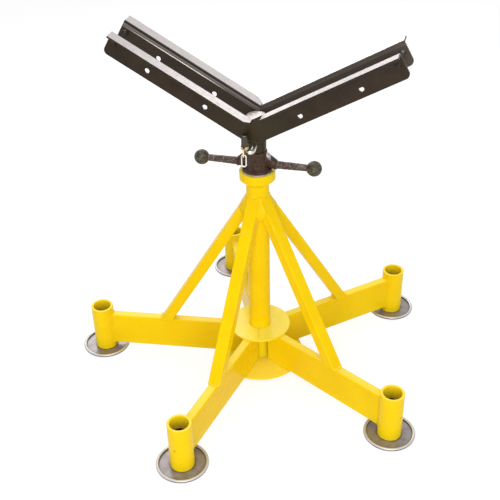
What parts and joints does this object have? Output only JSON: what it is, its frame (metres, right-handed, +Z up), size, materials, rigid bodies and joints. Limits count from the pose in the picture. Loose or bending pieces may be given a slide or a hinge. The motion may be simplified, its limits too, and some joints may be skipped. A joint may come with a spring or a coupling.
{
  "type": "pipe jack stand",
  "caption": "Floor stand with splayed braced legs, a central screw column with a turning nut handle, and a V head of paired rails that cradles a pipe.",
  "frame": {"origin": "on the floor under the column's axis", "axes": "+Z up; +X to the right along the V head, as seen from the side with the locking pin; a pipe lies along Y"},
  "size_m": [1.0127, 1.0224, 0.9793],
  "materials": {
    "frame_paint": "gloss yellow enamel over welded steel",
    "head_paint": "semi-gloss dark brown-black enamel",
    "nut_finish": "dark brown forged and oiled steel",
    "ball_finish": "satin black moulded ball",
    "foot_zinc": "zinc plated pressed steel",
    "stem_zinc": "yellow passivated zinc",
    "bare_steel": "turned bare steel, lightly oiled",
    "cap_steel": "worn bare steel",
    "bush_bronze": "machined bronze",
    "pin_zinc": "bright zinc plate",
    "eye_brass": "worn brass",
    "grip_plastic": "dark dipped vinyl"
  },
  "bodies": {
    "base": {"column_tube": "frame_paint", "column_collar": "frame_paint", "guide_bush": "bush_bronze", "key_screw": "bare_steel", "top_plate": "frame_paint", "bottom_plate": "frame_paint", "thrust_washer": "bare_steel", "leg_1": "frame_paint", "leg_2": "frame_paint", "leg_3": "frame_paint", "leg_4": "frame_paint", "leg_5": "frame_paint", "brace_1": "frame_paint", "brace_2": "frame_paint", "brace_3": "frame_paint", "brace_4": "frame_paint", "brace_5": "frame_paint", "socket_1": "frame_paint", "socket_2": "frame_paint", "socket_3": "frame_paint", "socket_4": "frame_paint", "socket_5": "frame_paint", "foot_plate_1": "foot_zinc", "foot_plate_2": "foot_zinc", "foot_plate_3": "foot_zinc", "foot_plate_4": "foot_zinc", "foot_plate_5": "foot_zinc", "foot_stem_1": "stem_zinc", "foot_stem_2": "stem_zinc", "foot_stem_3": "stem_zinc", "foot_stem_4": "stem_zinc", "foot_stem_5": "stem_zinc", "foot_screws": "frame_paint"},
    "nut": {"hand_nut": "nut_finish", "handle_arm_left": "nut_finish", "handle_arm_right": "nut_finish", "handle_ball_left": "ball_finish", "handle_ball_right": "ball_finish"},
    "screw": {"jack_screw": "bare_steel", "guide_ring": "bare_steel", "ring_pin": "bare_steel", "head_post": "head_paint", "post_cap": "cap_steel", "saddle_block": "head_paint", "rail_screws": "head_paint", "rail_end_bolts": "head_paint", "rail_end_nuts": "head_paint", "rail_front_left": "head_paint", "rail_front_right": "head_paint", "rail_rear_left": "head_paint", "rail_rear_right": "head_paint"},
    "pin": {"lock_pin": "pin_zinc", "pin_grip": "grip_plastic", "pin_eye": "eye_brass"},
    "link": {"pin_link": "pin_zinc"}
  },
  "joints": [
    {"name": "nut_turn", "type": "hinge", "parent": "base", "child": "nut", "pos_m": [0, 0, 0.64], "axis": [0, 0, -1], "range_deg": [0, 30160.63]},
    {"name": "screw_lift", "type": "slide", "parent": "base", "child": "screw", "axis": [0, 0, 1], "range_m": [0, 0.532]},
    {"name": "pin_pull", "type": "slide", "parent": "screw", "child": "pin", "axis": [0.0785, -0.9969, 0], "range_m": [0, 0.085]},
    {"name": "link_swing", "type": "hinge", "parent": "pin", "child": "link", "pos_m": [-0.01344, -0.07639, 0.702], "axis": [0.9962, 0.0872, 0], "range_deg": [-70, 25]}
  ],
  "couplings": [
    {"joint": "screw_lift", "follows": "nut_turn", "m_per_rad": 0.0010106}
  ]
}
